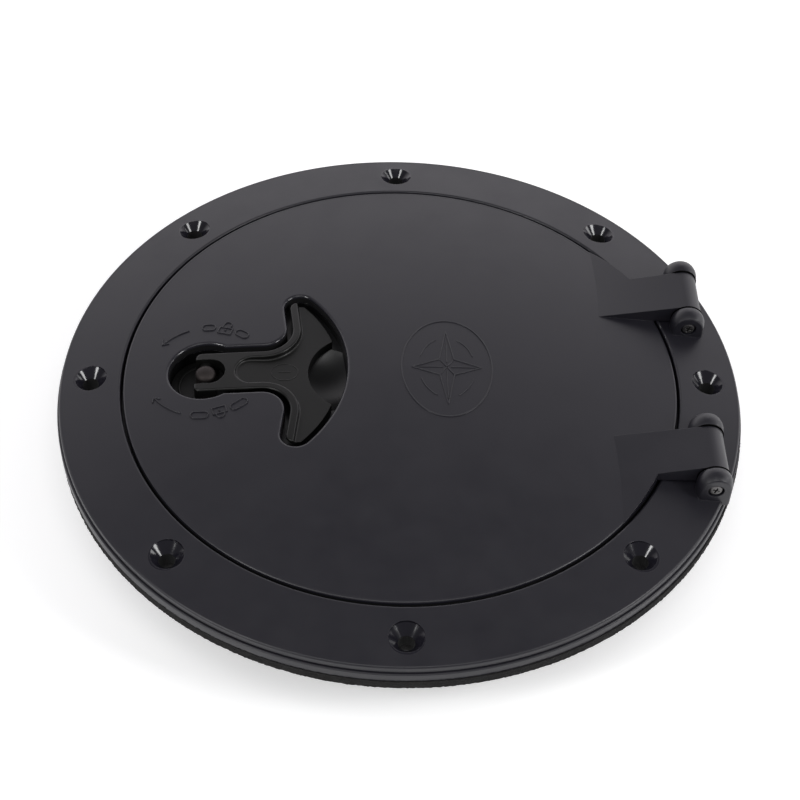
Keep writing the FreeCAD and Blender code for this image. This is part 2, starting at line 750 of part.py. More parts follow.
def nodes():
    table = {
        "base_ring": base_ring(),
        "deck_gasket": deck_gasket(),
        "latch_strike": latch_strike(),
        "strike_rivets": strike_rivets(),
        "lid_panel": lid_panel(),
        "recess_tub": recess_tub(),
        "lid_seal": lid_seal(),
        "spindle_bushing": spindle_bushing(),
        "latch_turntable": latch_turntable(),
        "turntable_seal": turntable_seal(),
        "latch_spindle": latch_spindle(),
        "handle_pivot_pin": handle_pivot_pin(),
        "pivot_spacers": pivot_spacers(),
        "latch_handle": latch_handle(),
        "wave_washer": wave_washer(),
        "bolt_washer": bolt_washer(),
        "latch_bolt": latch_bolt(),
        "bolt_nut": bolt_nut(),
    }
    for name, side in (("front", -1), ("rear", 1)):
        table["hinge_screw_" + name] = hinge_screw(side)
        table["hinge_nut_" + name] = hinge_nut(side)
        table["hinge_bush_" + name] = hinge_bush(side)
    return table


os.makedirs("parts", exist_ok=True)
for name, shape in nodes().items():
    shape.exportStep(os.path.join("parts", name + ".step"))
    print(name, "solids", len(shape.Solids), "valid", shape.isValid(), "mm3", round(shape.Volume, 1))
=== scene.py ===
"""Deck hatch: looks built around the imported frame. Metres, +Z up, hatch axis at the origin."""
import math
import random

import bmesh
import bpy
from mathutils import Matrix, Vector, noise


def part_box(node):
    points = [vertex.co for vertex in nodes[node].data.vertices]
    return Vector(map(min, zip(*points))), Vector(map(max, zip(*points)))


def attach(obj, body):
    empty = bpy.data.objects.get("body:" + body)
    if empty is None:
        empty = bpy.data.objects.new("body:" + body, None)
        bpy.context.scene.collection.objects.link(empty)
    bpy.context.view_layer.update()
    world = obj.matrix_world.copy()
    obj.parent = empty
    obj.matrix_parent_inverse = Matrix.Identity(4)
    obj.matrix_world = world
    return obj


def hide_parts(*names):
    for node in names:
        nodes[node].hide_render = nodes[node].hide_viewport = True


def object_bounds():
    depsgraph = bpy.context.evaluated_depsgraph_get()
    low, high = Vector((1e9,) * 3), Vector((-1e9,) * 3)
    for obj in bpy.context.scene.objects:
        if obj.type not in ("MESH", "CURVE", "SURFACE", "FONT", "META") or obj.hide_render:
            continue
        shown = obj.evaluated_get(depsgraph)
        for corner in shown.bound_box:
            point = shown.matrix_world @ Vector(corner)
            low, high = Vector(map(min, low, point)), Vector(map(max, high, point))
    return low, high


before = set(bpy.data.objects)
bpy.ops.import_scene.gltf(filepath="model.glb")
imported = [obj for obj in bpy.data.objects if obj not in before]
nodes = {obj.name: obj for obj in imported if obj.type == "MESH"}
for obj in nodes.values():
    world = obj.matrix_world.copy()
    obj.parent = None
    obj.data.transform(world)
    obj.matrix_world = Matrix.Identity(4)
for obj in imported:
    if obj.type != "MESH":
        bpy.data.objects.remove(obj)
cad_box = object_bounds()
MM = 0.001
FULL_TURN = 360.0

# ---- places read from the frame ----------------------------------------------------------
gasket_low, gasket_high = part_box("deck_gasket")
turn_low, turn_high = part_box("latch_turntable")
SPINDLE_X = (turn_low.x + turn_high.x) / 2

# ---- sizes of the CAD parts --------------------------------------------------------------
SCREW_HOLES = 8
BOLT_CIRCLE_R = 130.0 * MM
COUNTERSINK_R = 7.0 * MM
SCREW_HOLE_R = 3.3 * MM
CROWN_TOP = 18.3 * MM
CROWN_R = 923.0 * MM
CROWN_CENTRE_Z = CROWN_TOP - CROWN_R
EDGE_ROUND = 1.0 * MM             # rounding of the flange's, the recess's and the lid's edge
FLANGE_R = 142.5 * MM
GROOVE_R, GROOVE_TOP = 141.95 * MM, 4.5 * MM
BAND_R, BAND_TOP = 143.4 * MM, 3.9 * MM
BAND_ROUND = 0.5 * MM
RECESS_R = 116.9 * MM
LID_R = 115.8 * MM
HANDLE_PANEL_TOP = 13.6 * MM
TURNTABLE_TOP = 4.3 * MM


def crown_z(x, y):
    """Height of the domed surface that lid and flange share."""
    return CROWN_CENTRE_Z + math.sqrt(CROWN_R ** 2 - x * x - y * y)


# ---- material helpers --------------------------------------------------------------------
def new_material(name):
    mat = bpy.data.materials.new(name)
    mat.use_nodes = True
    tree = mat.node_tree
    shader = tree.nodes["Principled BSDF"]
    return mat, tree, shader


def noise_node(tree, coords, scale, detail=3.0, rough=0.55):
    node = tree.nodes.new("ShaderNodeTexNoise")
    node.inputs["Scale"].default_value = scale
    node.inputs["Detail"].default_value = detail
    node.inputs["Roughness"].default_value = rough
    tree.links.new(coords, node.inputs["Vector"])
    return node.outputs["Fac"]


def spread(tree, value, low, high, from_low=0.3, from_high=0.7):
    """Maps the range from_low..from_high of a texture value to low..high."""
    node = tree.nodes.new("ShaderNodeMapRange")
    node.inputs["From Min"].default_value = from_low
    node.inputs["From Max"].default_value = from_high
    node.inputs["To Min"].default_value = low
    node.inputs["To Max"].default_value = high
    tree.links.new(value, node.inputs["Value"])
    return node.outputs["Result"]


def math_node(tree, operation, a, b=None):
    node = tree.nodes.new("ShaderNodeMath")
    node.operation = operation
    for socket, value in zip(node.inputs, (a, b)):
        if isinstance(value, (int, float)):
            socket.default_value = value
        elif value is not None:
            tree.links.new(value, socket)
    return node.outputs[0]


def distance_node(tree, a, b):
    """Square root of a squared plus b squared."""
    squares = [math_node(tree, "MULTIPLY", side, side) for side in (a, b)]
    return math_node(tree, "SQRT", math_node(tree, "ADD", *squares))


def colour_mix(tree, fac, low, high):
    """From the colour low to the colour high."""
    node = tree.nodes.new("ShaderNodeMix")
    node.data_type = "RGBA"
    node.inputs["A"].default_value = (*low, 1)
    node.inputs["B"].default_value = (*high, 1)
    tree.links.new(fac, node.inputs["Factor"])
    return node.outputs["Result"]


def colour_over(tree, fac, colour, target):
    """The linked colour where fac is 0, the fixed colour target where it is 1."""
    node = tree.nodes.new("ShaderNodeMix")
    node.data_type = "RGBA"
    node.inputs["B"].default_value = (*target, 1)
    tree.links.new(fac, node.inputs["Factor"])
    tree.links.new(colour, node.inputs["A"])
    return node.outputs["Result"]


def value_over(tree, fac, value, target):
    """The linked value where fac is 0, the number target where it is 1."""
    node = tree.nodes.new("ShaderNodeMix")
    node.inputs["B"].default_value = target
    tree.links.new(fac, node.inputs["Factor"])
    tree.links.new(value, node.inputs["A"])
    return node.outputs["Result"]


def bump(tree, shader, heights, edge=0.3 * MM):
    """Chains bumps of (height output, strength, distance in metres) on softened edges."""
    soft = tree.nodes.new("ShaderNodeBevel")
    soft.samples = 4
    soft.inputs["Radius"].default_value = edge
    previous = soft.outputs["Normal"]
    for height, strength, distance in heights:
        node = tree.nodes.new("ShaderNodeBump")
        node.inputs["Strength"].default_value = strength
        node.inputs["Distance"].default_value = distance
        tree.links.new(height, node.inputs["Height"])
        tree.links.new(previous, node.inputs["Normal"])
        previous = node.outputs["Normal"]
    tree.links.new(previous, shader.inputs["Normal"])


def object_coords(tree):
    return tree.nodes.new("ShaderNodeTexCoord").outputs["Object"]


def satin(tree, coords, rough, scale=55.0):
    """Roughness that drifts a little round rough."""
    smear = noise_node(tree, coords, scale, 5.0, 0.65)
    return spread(tree, smear, rough - 0.04, rough + 0.05)


def moulded_grain(tree, shader, coords, strength=0.25, where=None):
    """Fine grain over a slower unevenness; where is 1 on the grained part and 0 elsewhere."""
    heights = [noise_node(tree, coords, 700.0, 3.0), noise_node(tree, coords, 2600.0, 2.0)]
    if where is not None:
        heights = [math_node(tree, "MULTIPLY", height, where) for height in heights]
    slow, fine = heights
    bump(tree, shader, [(slow, strength * 0.6, 0.08 * MM), (fine, strength, 0.05 * MM)])


# ---- materials ---------------------------------------------------------------------------
LID_DARK = (0.0082, 0.0077, 0.0118)
LID_LIGHT = (0.0107, 0.0101, 0.0148)
# Painted shade: near black for the recess walls just under the lip, where shade falls.
WALL_SHADE = (0.0022, 0.0022, 0.0024)
# Painted shade: near black inside the screw holes.
BORE_SHADE = (0.001, 0.001, 0.001)

# Depths under the dome, measured along its radius, between which a band fades in or out.
LIP_FADE = (0.35 * MM, 0.15 * MM)
WALL_TOP_FADE = (1.3 * MM, 0.8 * MM)
WALL_FOOT_FADE = (3.9 * MM, 3.5 * MM)


def crown_bands(tree, coords):
    """Two masks by depth under the dome: 1 from the rounded lip down, 1 on the walls' top part."""
    reach = tree.nodes.new("ShaderNodeVectorMath")
    reach.operation = "DISTANCE"
    reach.inputs[1].default_value = (0.0, 0.0, CROWN_CENTRE_Z)
    tree.links.new(coords, reach.inputs[0])

    def fade(depths, low, high):
        return spread(tree, reach.outputs["Value"], low, high,
                      CROWN_R - depths[0], CROWN_R - depths[1])

    lip = fade(LIP_FADE, 1.0, 0.0)
    walls = math_node(tree, "MULTIPLY", fade(WALL_TOP_FADE, 1.0, 0.0),
                      fade(WALL_FOOT_FADE, 0.0, 1.0))
    return lip, walls


def lid_finish(name, dark, light, rough):
    """Textured satin on the dome, polished from the lip down; duller just under the lip, and
    painted near black there as painted shade of the recess walls.
    """
    mat, tree, shader = new_material(name)
    coords = object_coords(tree)
    lip, walls = crown_bands(tree, coords)
    mottled = colour_mix(tree, noise_node(tree, coords, 30.0, 4.0), dark, light)
    # Painted shade: the walls' top part turns near black.
    tree.links.new(colour_over(tree, walls, mottled, WALL_SHADE), shader.inputs["Base Color"])
    polished = value_over(tree, lip, satin(tree, coords, rough), 0.20)
    tree.links.new(value_over(tree, walls, polished, 0.62), shader.inputs["Roughness"])
    moulded_grain(tree, shader, coords)
    return mat


def moulded_plastic(name, dark, light, rough, grain=0.25, specular=0.5):
    """Satin injection-moulded plastic: fine grain, slow colour and gloss variation."""
    mat, tree, shader = new_material(name)
    shader.inputs["Specular IOR Level"].default_value = specular
    coords = object_coords(tree)
    mottled = colour_mix(tree, noise_node(tree, coords, 30.0, 4.0), dark, light)
    tree.links.new(mottled, shader.inputs["Base Color"])
    tree.links.new(satin(tree, coords, rough), shader.inputs["Roughness"])
    moulded_grain(tree, shader, coords, grain)
    return mat


def screw_hole_masks(tree, coords):
    """Two values, 1 inside the countersinks and inside their screw holes, 0 elsewhere."""
    split = tree.nodes.new("ShaderNodeSeparateXYZ")
    tree.links.new(coords, split.inputs[0])
    x, y = split.outputs[0], split.outputs[1]
    radius = distance_node(tree, x, y)
    pitch = 2 * math.pi / SCREW_HOLES
    local = math_node(tree, "WRAP", math_node(tree, "ARCTAN2", y, x), pitch / 2)
    local.node.inputs[2].default_value = -pitch / 2
    out = math_node(tree, "MULTIPLY", radius, math_node(tree, "COSINE", local))
    along = math_node(tree, "MULTIPLY", radius, math_node(tree, "SINE", local))
    apart = distance_node(tree, math_node(tree, "SUBTRACT", out, BOLT_CIRCLE_R), along)
    margin = 0.05 * MM
    return (math_node(tree, "LESS_THAN", apart, COUNTERSINK_R + margin),
            math_node(tree, "LESS_THAN", apart, SCREW_HOLE_R + margin))


def ring_plastic(name, dark, light, rough):
    """Satin plastic of the ring, with the polished cones of its countersinks and painted shade,
    near black and dull, inside the screw holes.
    """
    mat, tree, shader = new_material(name)
    coords = object_coords(tree)
    cone, bore = screw_hole_masks(tree, coords)
    mottled = colour_mix(tree, noise_node(tree, coords, 28.0, 4.0), dark, light)
    # Painted shade: the screw holes turn near black.
    tree.links.new(colour_over(tree, bore, mottled, BORE_SHADE), shader.inputs["Base Color"])
    polished = value_over(tree, cone, satin(tree, coords, rough, 50.0), 0.14)
    tree.links.new(value_over(tree, bore, polished, 0.9), shader.inputs["Roughness"])
    moulded_grain(tree, shader, coords, where=math_node(tree, "SUBTRACT", 1.0, cone))
    return mat


def foam(name):
    """Dull black foam: soft lumps with small cells on them."""
    mat, tree, shader = new_material(name)
    coords = object_coords(tree)
    cells = tree.nodes.new("ShaderNodeTexVoronoi")
    cells.inputs["Scale"].default_value = 1400.0
    tree.links.new(coords, cells.inputs["Vector"])
    lump = noise_node(tree, coords, 260.0, 4.0)
    tone = colour_mix(tree, lump, (0.004, 0.004, 0.004), (0.022, 0.021, 0.021))
    tree.links.new(tone, shader.inputs["Base Color"])
    shader.inputs["Roughness"].default_value = 0.95
    shader.inputs["Specular IOR Level"].default_value = 0.2
    bump(tree, shader, [(lump, 0.6, 0.4 * MM), (cells.outputs["Distance"], 0.9, 0.3 * MM)])
    return mat


def rubber(name):
    """Black rubber, slightly mottled."""
    mat, tree, shader = new_material(name)
    coords = object_coords(tree)
    patches = noise_node(tree, coords, 120.0, 4.0)
    tone = colour_mix(tree, patches, (0.010, 0.010, 0.010), (0.020, 0.020, 0.020))
    tree.links.new(tone, shader.inputs["Base Color"])
    tree.links.new(spread(tree, patches, 0.55, 0.72), shader.inputs["Roughness"])
    bump(tree, shader, [(noise_node(tree, coords, 1500.0, 3.0), 0.3, 0.1 * MM)])
    return mat


def stainless(name, colour, rough, axis):
    """Turned or drawn stainless steel with fine lines across axis (0 X, 1 Y, 2 Z)."""
    mat, tree, shader = new_material(name)
    coords = object_coords(tree)
    stretch = tree.nodes.new("ShaderNodeMapping")
    factors = [60.0, 60.0, 60.0]
    factors[axis] = 4200.0
    stretch.inputs["Scale"].default_value = factors
    tree.links.new(coords, stretch.inputs["Vector"])
    lines = noise_node(tree, stretch.outputs["Vector"], 1.0, 4.0)
    low = tuple(c * 0.82 for c in colour)
    tree.links.new(colour_mix(tree, lines, low, colour), shader.inputs["Base Color"])
    shader.inputs["Metallic"].default_value = 1.0
    tree.links.new(spread(tree, lines, rough - 0.06, rough + 0.08), shader.inputs["Roughness"])
    bump(tree, shader, [(lines, 0.25, 0.04 * MM)])
    return mat


lid_plastic = lid_finish("lid_plastic", LID_DARK, LID_LIGHT, 0.40)
ring_finish = ring_plastic("ring_plastic", LID_DARK, LID_LIGHT, 0.40)
handle_plastic = moulded_plastic("handle_plastic", (0.0030, 0.0031, 0.0028),
                                 (0.0045, 0.0046, 0.0042), 0.36, grain=0.15, specular=0.36)
rotor_plastic = moulded_plastic("rotor_plastic", (0.0020, 0.0020, 0.0020),
                                (0.0032, 0.0032, 0.0032), 0.40, grain=0.15, specular=0.30)
# Painted shade: the tub is the same moulding as the lid, given a darker base colour for the shade
# in the recess.
recess_shade_plastic = moulded_plastic("recess_shade_plastic", (0.0022, 0.0022, 0.0024),
                                 (0.0034, 0.0034, 0.0037), 0.30, grain=0.15, specular=0.45)
# Painted shade: near black and dull, for the shade in the hinge gaps.
washer_gap_shade = moulded_plastic("washer_gap_shade", (0.0006, 0.0006, 0.0006),
                               (0.0010, 0.0010, 0.0010), 0.75, grain=0.15, specular=0.03)
bolt_plastic = moulded_plastic("bolt_plastic", (0.014, 0.014, 0.015),
                               (0.030, 0.030, 0.031), 0.48, grain=0.5)
bearing_plastic = moulded_plastic("bearing_plastic", (0.62, 0.60, 0.55),
                                  (0.70, 0.68, 0.63), 0.38, grain=0.2)
gasket_foam = foam("gasket_foam")
seal_rubber = rubber("seal_rubber")
# Painted shade: this steel is much darker than bare stainless, for the shade in the latch well.
spindle_steel = stainless("spindle_steel", (0.054, 0.047, 0.046), 0.60, 2)
# Painted shade: darker than bare stainless, for screw heads that sit in shade.
fastener_steel = stainless("fastener_steel", (0.16, 0.155, 0.155), 0.40, 1)
strike_steel = stainless("strike_steel", (0.58, 0.57, 0.56), 0.30, 0)

# Screws, nuts, bushes and washers are not listed; they are fastener_steel.
FINISHES = {
    "base_ring": ring_finish, "lid_panel": lid_plastic, "recess_tub": recess_shade_plastic,
    "latch_handle": handle_plastic, "latch_turntable": rotor_plastic,
    "pivot_spacers": rotor_plastic, "latch_bolt": bolt_plastic,
    "spindle_bushing": bearing_plastic, "lid_seal": seal_rubber,
    "turntable_seal": seal_rubber, "latch_spindle": spindle_steel,
    "handle_pivot_pin": spindle_steel, "latch_strike": strike_steel,
    "strike_rivets": strike_steel, "deck_gasket": gasket_foam,
}

for node, obj in nodes.items():
    obj.data.materials.clear()
    obj.data.materials.append(FINISHES.get(node, fastener_steel))


# ---- helpers for pieces drawn over the frame ---------------------------------------------
def add_piece(name, bm, mat, body, smooth=True):
    """Turns bm into a shown object that rides a body."""
    bmesh.ops.recalc_face_normals(bm, faces=bm.faces)
    mesh = bpy.data.meshes.new(name)
    bm.to_mesh(mesh)
    bm.free()
    mesh.materials.append(mat)
    for face in mesh.polygons:
        face.use_smooth = smooth
    mesh.set_sharp_from_angle(angle=math.radians(40))
    obj = bpy.data.objects.new(name, mesh)
    bpy.context.scene.collection.objects.link(obj)
    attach(obj, body)
    return obj


def join_rings(bm, rings, closed):
    """Faces from each ring of vertices to the next and from the last to the first."""
    count = len(rings[0])
    for near, far in zip(rings, rings[1:] + rings[:1]):
        for k in range(count if closed else count - 1):
            j = (k + 1) % count
            bm.faces.new((near[k], far[k], far[j], near[j]))


def lathe(bm, profile, steps, centre=(0.0, 0.0), closed=False):
    """Sweeps (radius, height) points round a vertical axis."""
    rings = []
    for i in range(steps):
        a = 2 * math.pi * i / steps
        rings.append([bm.verts.new((centre[0] + r * math.cos(a), centre[1] + r * math.sin(a), z))
                      for r, z in profile])
    join_rings(bm, rings, closed)


def turned_piece(name, profile, steps, mat, body, centre=(0.0, 0.0)):
    """A shown object swept from one open profile."""
    bm = bmesh.new()
    lathe(bm, profile, steps, centre)
    add_piece(name, bm, mat, body)


def arc_points(centre_r, centre_z, radius, start, end, steps=8):
    """Points of a rounding in the (radius, height) plane, angles in degrees."""
    points = []
    for i in range(steps + 1):
        a = math.radians(start + (end - start) * i / steps)
        points.append((centre_r + radius * math.cos(a), centre_z + radius * math.sin(a)))
    return points


def resample(points, step, closed):
    """Points at even steps along a polyline."""
    loop = points + points[:1] if closed else points
    out = []
    for p, q in zip(loop, loop[1:]):
        p, q = Vector(p), Vector(q)
        count = max(1, round((q - p).length / step))
        out += [p.lerp(q, i / count) for i in range(count)]
    if not closed:
        out.append(Vector(loop[-1]))
    return out


# Cross-section of a ridge between its two feet: (part of the width, part of the height).
RIDGE_ARCH = ((-0.42, 0.55), (-0.22, 0.93), (0.0, 1.0), (0.22, 0.93), (0.42, 0.55))
RIDGE_SINK = 0.00012              # its feet lie this deep in the surface, in metres
MITRE_LIMIT = 0.7                 # keeps a sharp corner's mitre from growing wide


def ridge(bm, points, surface, width, height, closed=False, step=0.0005):
    """Raised line with a rounded top that follows surface(x, y)."""
    section = [(-0.5, -RIDGE_SINK), *((across, up * height) for across, up in RIDGE_ARCH),
               (0.5, -RIDGE_SINK)]
    line = resample(points, step, closed)
    last = len(line) - 1
    rows = []
    for i, p in enumerate(line):
        before = line[i - 1] if i or closed else p
        after = line[(i + 1) % len(line)] if i < last or closed else p
        along = (after - before).normalized()
        side = Vector((-along.y, along.x))
        turn = (p - before).angle(after - p, 0.0) if i and i < last else 0.0
        reach = width / max(MITRE_LIMIT, math.cos(turn / 2))
        row = []
        for across, up in section:
            q = p + side * across * reach
            row.append(bm.verts.new((q.x, q.y, surface(q.x, q.y) + up)))
        rows.append(row)
    pairs = list(zip(rows, rows[1:])) + ([(rows[-1], rows[0])] if closed else [])
    for near, far in pairs:
        for k in range(len(section) - 1):
            bm.faces.new((near[k], near[k + 1], far[k + 1], far[k]))
    if not closed:
        bm.faces.new(rows[0])
        bm.faces.new(reversed(rows[-1]))


def oval(cx, cy, rx, ry, start=0.0, end=FULL_TURN, steps=96):
    """Points of an ellipse or of a part of one, angles in degrees."""
    last = 0 if end - start >= FULL_TURN else 1
    points = []
    for i in range(steps + last):
        a = math.radians(start + (end - start) * i / steps)
        points.append((cx + rx * math.cos(a), cy + ry * math.sin(a)))
    return points


# ---- markings ----------------------------------------------------------------------------
# Round the latch: an open and a closed padlock, each between two bars and beside a turn arrow.
MARK_R = 24.8 * MM
MARK_W = 0.62 * MM
MARK_H = 0.45 * MM
MARK_STEP = 0.0004
BAR_HALF = 1.7 * MM


def mark_place(angle):
    """Outward direction at an angle in degrees, and the point on the markings' circle."""
    a = math.radians(angle)
    outward = Vector((math.cos(a), math.sin(a)))
    return outward, Vector((SPINDLE_X, 0.0)) + outward * MARK_R


def set_glyph(points, angle):
    """Sets glyph points in millimetres, up = away from the spindle, at an angle."""
    outward, origin = mark_place(angle)
    side = Vector((outward.y, -outward.x))
    return [tuple(origin + side * (x * MM) + outward * (y * MM)) for x, y in points]


def latch_arc(start, end, offset=0.0):
    """Points along the markings' circle, or outside it by offset."""
    return oval(SPINDLE_X, 0.0, MARK_R + offset, MARK_R + offset, start, end, 40)


def padlock(open_shackle):
    """Outline of a padlock's body and line of its shackle, in millimetres."""
    body = [(-2.8, -2.9), (2.8, -2.9), (2.8, 0.5), (-2.8, 0.5)]
    half = 1.7
    bow = 1.1 + (1.1 if open_shackle else 0.0)
    foot = 1.6 if open_shackle else 0.5
    shackle = [(-half, 0.5), (-half, bow)]
    shackle += [(half * math.cos(math.radians(a)), bow + half * math.sin(math.radians(a)))
                for a in range(165, 0, -15)]
    shackle += [(half, bow), (half, foot)]
    return body, shackle


def bar_end(angle, sweep):
    """Points of a bar's round end; sweep gives their degrees from the outward direction."""
    outward, middle = mark_place(angle)
    along = Vector((-outward.y, outward.x))
    return [tuple(middle + (outward * math.cos(t) + along * math.sin(t)) * BAR_HALF)
            for t in map(math.radians, sweep)]


def bar_outline(start, end):
    """Closed bar with round ends that follows the circle of the markings."""
    cap = math.degrees(BAR_HALF / MARK_R)
    points = latch_arc(start + cap, end - cap, BAR_HALF)
    points += bar_end(end - cap, range(15, 180, 15))
    points += reversed(latch_arc(start + cap, end - cap, -BAR_HALF))
    points += bar_end(start + cap, range(195, 360, 15))
    return points


def mark_group(name, at, bars, arrow, open_shackle):
    """One padlock between two bars, and a curved arrow beside them; angles in degrees."""
    bm = bmesh.new()
    body, shackle = padlock(open_shackle)
    keyhole = [(0.0, -0.6), (0.0, -1.5)]
    ridge(bm, set_glyph(body, at), crown_z, MARK_W, MARK_H, closed=True, step=MARK_STEP)
    ridge(bm, set_glyph(shackle, at), crown_z, MARK_W, MARK_H, step=MARK_STEP)
    ridge(bm, set_glyph(keyhole, at), crown_z, MARK_W, MARK_H, step=0.0003)
    for start, end in bars:
        ridge(bm, bar_outline(start, end), crown_z, MARK_W, MARK_H, closed=True, step=MARK_STEP)
    tail, head = arrow
    ridge(bm, latch_arc(tail, head), crown_z, MARK_W, MARK_H)
    back = 2.2 if head > tail else -2.2
    barbs = [(back, 1.8), (0.0, 0.0), (back, -1.8)]
    ridge(bm, set_glyph(barbs, head), crown_z, MARK_W, MARK_H, step=MARK_STEP)
    add_piece(name, bm, lid_plastic, "lid")


mark_group("mark_open", 72, [(47, 61), (83, 96)], (109, 140), True)
mark_group("mark_closed", 287, [(259, 276), (298, 316)], (249, 214), False)


def emblem():
    """Generic compass star in an oval ring, drawn in fine lines on the lid."""
    cx, cy = 19.0 * MM, -0.6 * MM
    wide, tall = 18.9 * MM, 27.0 * MM
    outline_h, detail_w, detail_h = 0.30 * MM, 0.5 * MM, 0.24 * MM
    tip_reach, notch_reach, arc_reach, arc_sweep = 0.76, 0.23, 0.62, 46
    bm = bmesh.new()
    ridge(bm, oval(cx, cy, wide, tall), crown_z, 0.7 * MM, outline_h, closed=True)
    star = []
    for i in range(8):
        a = math.radians(45 * i)
        reach = tip_reach if i % 2 == 0 else notch_reach
        star.append((cx + wide * reach * math.cos(a), cy + tall * reach * math.sin(a)))
    ridge(bm, star, crown_z, 0.6 * MM, outline_h, closed=True)
    centre = Vector((cx, cy))
    for i in range(0, 8, 2):
        for corner, start, end in ((star[i + 1], 0.1, 0.9), (star[i], 0.12, 0.86)):
            spoke = [tuple(centre.lerp(Vector(corner), part)) for part in (start, end)]
            ridge(bm, spoke, crown_z, detail_w, detail_h)
    for start in (22, 112, 202, 292):
        arc = oval(cx, cy, wide * arc_reach, tall * arc_reach, start, start + arc_sweep, 20)
        ridge(bm, arc, crown_z, detail_w, detail_h)
    add_piece("lid_emblem", bm, lid_plastic, "lid")


emblem()


def handle_mark():
    """Small plain oval with a bar, moulded on the handle's sunk panel."""
    cx = -48.7 * MM
    bar_half = 2.6 * MM
    width, height = 0.6 * MM, 0.14 * MM
    bm = bmesh.new()
    outline = oval(cx, 0.0, 5.6 * MM, 4.6 * MM)
    ridge(bm, outline, lambda x, y: HANDLE_PANEL_TOP, width, height, closed=True)
    bar = [(cx - bar_half, 0.0), (cx + bar_half, 0.0)]
    ridge(bm, bar, lambda x, y: HANDLE_PANEL_TOP, width, height)
    add_piece("handle_mark", bm, handle_plastic, "handle")


handle_mark()


# ---- gasket and washers ------------------------------------------------------------------
def cut_screw_holes(obj):
    """Cuts the eight screw holes through the gasket and applies the cut to its mesh."""
    middle_z, depth = -2.1 * MM, 8 * MM
    cutter_bm = bmesh.new()
    for i in range(SCREW_HOLES):
        a = math.radians(FULL_TURN / SCREW_HOLES * i)
        place = Matrix.Translation((BOLT_CIRCLE_R * math.cos(a), BOLT_CIRCLE_R * math.sin(a),
                                    middle_z))
        bmesh.ops.create_cone(cutter_bm, cap_ends=True, segments=32, radius1=SCREW_HOLE_R,
                              radius2=SCREW_HOLE_R, depth=depth, matrix=place)
    cutter_mesh = bpy.data.meshes.new("gasket_cutter")
    cutter_bm.to_mesh(cutter_mesh)
    cutter_bm.free()
    cutter = bpy.data.objects.new("gasket_cutter", cutter_mesh)
    bpy.context.scene.collection.objects.link(cutter)
    cut = obj.modifiers.new("holes", "BOOLEAN")
    cut.object = cutter
    cut.operation = "DIFFERENCE"
    cut.solver = "EXACT"
    evaluated = obj.evaluated_get(bpy.context.evaluated_depsgraph_get())
    holed = bpy.data.meshes.new_from_object(evaluated)
    obj.modifiers.clear()
    obj.data = holed
    bpy.data.objects.remove(cutter)


def foam_gasket():
    """Cut foam ring with a rough, open-celled outer edge, laid a little off centre."""
    random.seed(7)
    steps = 1400
    foot_gap, top_gap, rim_gap = 0.00004, 0.00002, 0.00015    # metres
    lumps, specks, crumple = 0.00016, 0.00012, 0.00005        # metres
    lump_scale = 1500
    low, high = gasket_low.z + foot_gap, gasket_high.z - top_gap
    outer, inner = gasket_high.y, 112.0 * MM
    off_x, off_y = 0.35 * MM, -0.35 * MM
    bm = bmesh.new()
    rings = []
    levels = [low + t * (high - low) for t in (0.0, 0.17, 0.37, 0.60, 0.83, 1.0)]
    for i in range(steps):
        a = 2 * math.pi * i / steps
        c, d = math.cos(a), math.sin(a)
        row = [bm.verts.new((inner * c + off_x, inner * d + off_y, z)) for z in (high, low)]
        for z in levels:
            p = Vector((outer * c, outer * d, z)) * lump_scale
            rough = lumps * noise.noise(p) + specks * random.uniform(-1, 1)
            rim = outer - rim_gap + rough
            lift = 0.0 if z == high else crumple * (1 + noise.noise(p * 0.7))
            row.append(bm.verts.new((rim * c + off_x, rim * d + off_y, z + lift)))
        rings.append(row)
    join_rings(bm, rings, closed=True)
    obj = add_piece("foam_gasket", bm, gasket_foam, "base")
    cut_screw_holes(obj)
    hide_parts("deck_gasket")


foam_gasket()


def wavy_washer():
    """Spring washer with three waves, in the space of the plain one."""
    low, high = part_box("wave_washer")
    steps, waves = 96, 3
    inner, outer, thick = 4.2 * MM, 7.6 * MM, 0.32 * MM
    section = ((inner, -thick / 2), (outer, -thick / 2), (outer, thick / 2), (inner, thick / 2))
    middle = (low.z + high.z) / 2
    swing = (high.z - low.z - thick) / 2
    bm = bmesh.new()
    rings = []
    for i in range(steps):
        a = 2 * math.pi * i / steps
        c, d = math.cos(a), math.sin(a)
        z = middle + swing * math.sin(waves * a)
        rings.append([bm.verts.new((SPINDLE_X + r * c, r * d, z + h)) for r, h in section])
    join_rings(bm, rings, closed=True)
    obj = add_piece("wavy_washer", bm, fastener_steel, "rotor", smooth=False)
    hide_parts("wave_washer")


wavy_washer()


# ---- edges -------------------------------------------------------------------------------
PROUD = 0.03 * MM                 # the drawn edges stand this far off the CAD ones
EDGE_TAIL = 0.4 * MM
TAIL_SINK = 0.02 * MM


def dome_edge(centre_r, tail, start, end):
    """Profile of a rounded edge of the dome: its tail under the dome, then the rounding."""
    points = [(centre_r + tail, crown_z(centre_r + tail, 0) - TAIL_SINK)]
    return points + arc_points(centre_r, crown_z(centre_r, 0) - EDGE_ROUND,
                               EDGE_ROUND + PROUD, start, end)


